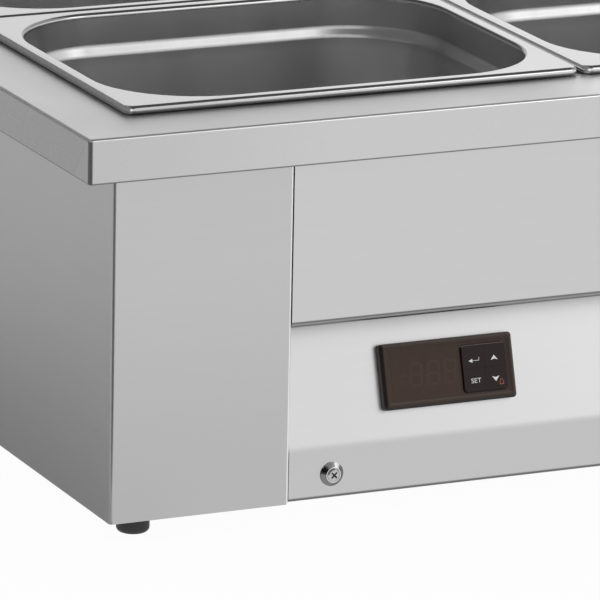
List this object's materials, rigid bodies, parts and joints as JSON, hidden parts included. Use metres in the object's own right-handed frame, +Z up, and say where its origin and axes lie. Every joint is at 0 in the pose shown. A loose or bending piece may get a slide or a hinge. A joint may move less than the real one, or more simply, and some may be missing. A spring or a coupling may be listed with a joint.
{
  "type": "bain marie",
  "caption": "Counter-top wet-well bain marie: folded stainless cabinet with lift-out pans, a recessed sloping control panel with a digital controller, and a rear drain valve.",
  "frame": {"origin": "middle of the underside, on the surface the feet stand on", "axes": "+X to the right seen from the control panel, +Y to the back, +Z up"},
  "size_m": [0.745, 0.632, 0.281],
  "materials": {
    "satin_steel": "brushed stainless sheet",
    "panel_steel": "brushed stainless sheet",
    "well_steel": "satin stainless sheet",
    "pan_steel": "polished rim, satin inside",
    "bright_steel": "bright plated",
    "element_steel": "heat-darkened tube",
    "brass": "machined",
    "rubber": "moulded",
    "bezel_plastic": "semi-gloss brown black",
    "window_plastic": "smoked, glossy",
    "black_plastic": "moulded",
    "key_plastic": "semi-gloss black",
    "pale_plastic": "moulded",
    "board": "solder-masked",
    "mineral_wool": "fibrous",
    "red_plastic": "dipped"
  },
  "bodies": {
    "cabinet": {"countertop": "satin_steel", "left_side_panel": "satin_steel", "right_side_panel": "satin_steel", "upper_front_panel": "satin_steel", "back_panel": "satin_steel", "base_plate": "satin_steel", "control_panel": "panel_steel", "well": "well_steel", "divider_bar": "well_steel", "cross_bars": "well_steel", "probe_clip": "well_steel", "element_clips": "well_steel", "drain_strainer": "well_steel", "foot_screws": "bright_steel", "panel_screws": "bright_steel", "cup_washers": "bright_steel", "back_screws": "bright_steel", "left_element": "element_steel", "right_element": "element_steel", "temperature_probe": "element_steel", "element_fittings": "brass", "bonding_stud": "brass", "bonding_nut": "brass", "drain_locknut": "brass", "drain_pipe": "brass", "valve_body": "brass", "feet": "rubber", "element_seals": "rubber", "controller_gasket": "rubber", "drain_gasket": "rubber", "drain_grommet": "rubber", "controller_bezel": "bezel_plastic", "controller_window": "window_plastic", "controller_case": "black_plastic", "controller_clips": "black_plastic", "cable_gland": "black_plastic", "gland_nut": "black_plastic", "safety_thermostat": "black_plastic", "wiring_loom": "black_plastic", "contactor": "pale_plastic", "terminal_block": "pale_plastic", "controller_display": "pale_plastic", "controller_board": "board", "insulation": "mineral_wool"},
    "pan_front_left": {"pan_front_left": "pan_steel"},
    "pan_front_right": {"pan_front_right": "pan_steel"},
    "pan_rear_left": {"pan_rear_left": "pan_steel"},
    "pan_rear_right": {"pan_rear_right": "pan_steel"},
    "key_enter": {"key_enter": "key_plastic"},
    "key_up": {"key_up": "key_plastic"},
    "key_set": {"key_set": "key_plastic"},
    "key_down": {"key_down": "key_plastic"},
    "valve_handle": {"valve_ball": "bright_steel", "valve_lever": "bright_steel", "valve_grip": "red_plastic", "valve_nut": "bright_steel"}
  },
  "joints": [
    {"name": "pan_front_left_lift", "type": "slide", "parent": "cabinet", "child": "pan_front_left", "axis": [0, 0, 1], "range_m": [0, 0.2]},
    {"name": "pan_front_right_lift", "type": "slide", "parent": "cabinet", "child": "pan_front_right", "axis": [0, 0, 1], "range_m": [0, 0.2]},
    {"name": "pan_rear_left_lift", "type": "slide", "parent": "cabinet", "child": "pan_rear_left", "axis": [0, 0, 1], "range_m": [0, 0.2]},
    {"name": "pan_rear_right_lift", "type": "slide", "parent": "cabinet", "child": "pan_rear_right", "axis": [0, 0, 1], "range_m": [0, 0.2]},
    {"name": "key_enter_press", "type": "slide", "parent": "cabinet", "child": "key_enter", "axis": [0, 0.9562, -0.2927], "range_m": [0, 0.0007], "stiffness_N_per_m": 600, "springref_m": -0.0003},
    {"name": "key_up_press", "type": "slide", "parent": "cabinet", "child": "key_up", "axis": [0, 0.9562, -0.2927], "range_m": [0, 0.0007], "stiffness_N_per_m": 600, "springref_m": -0.0003},
    {"name": "key_set_press", "type": "slide", "parent": "cabinet", "child": "key_set", "axis": [0, 0.9562, -0.2927], "range_m": [0, 0.0007], "stiffness_N_per_m": 600, "springref_m": -0.0003},
    {"name": "key_down_press", "type": "slide", "parent": "cabinet", "child": "key_down", "axis": [0, 0.9562, -0.2927], "range_m": [0, 0.0007], "stiffness_N_per_m": 600, "springref_m": -0.0003},
    {"name": "valve_turn", "type": "hinge", "parent": "cabinet", "child": "valve_handle", "pos_m": [0, 0.2875, 0.06], "axis": [0, 0, 1], "range_deg": [0, 90]}
  ]
}
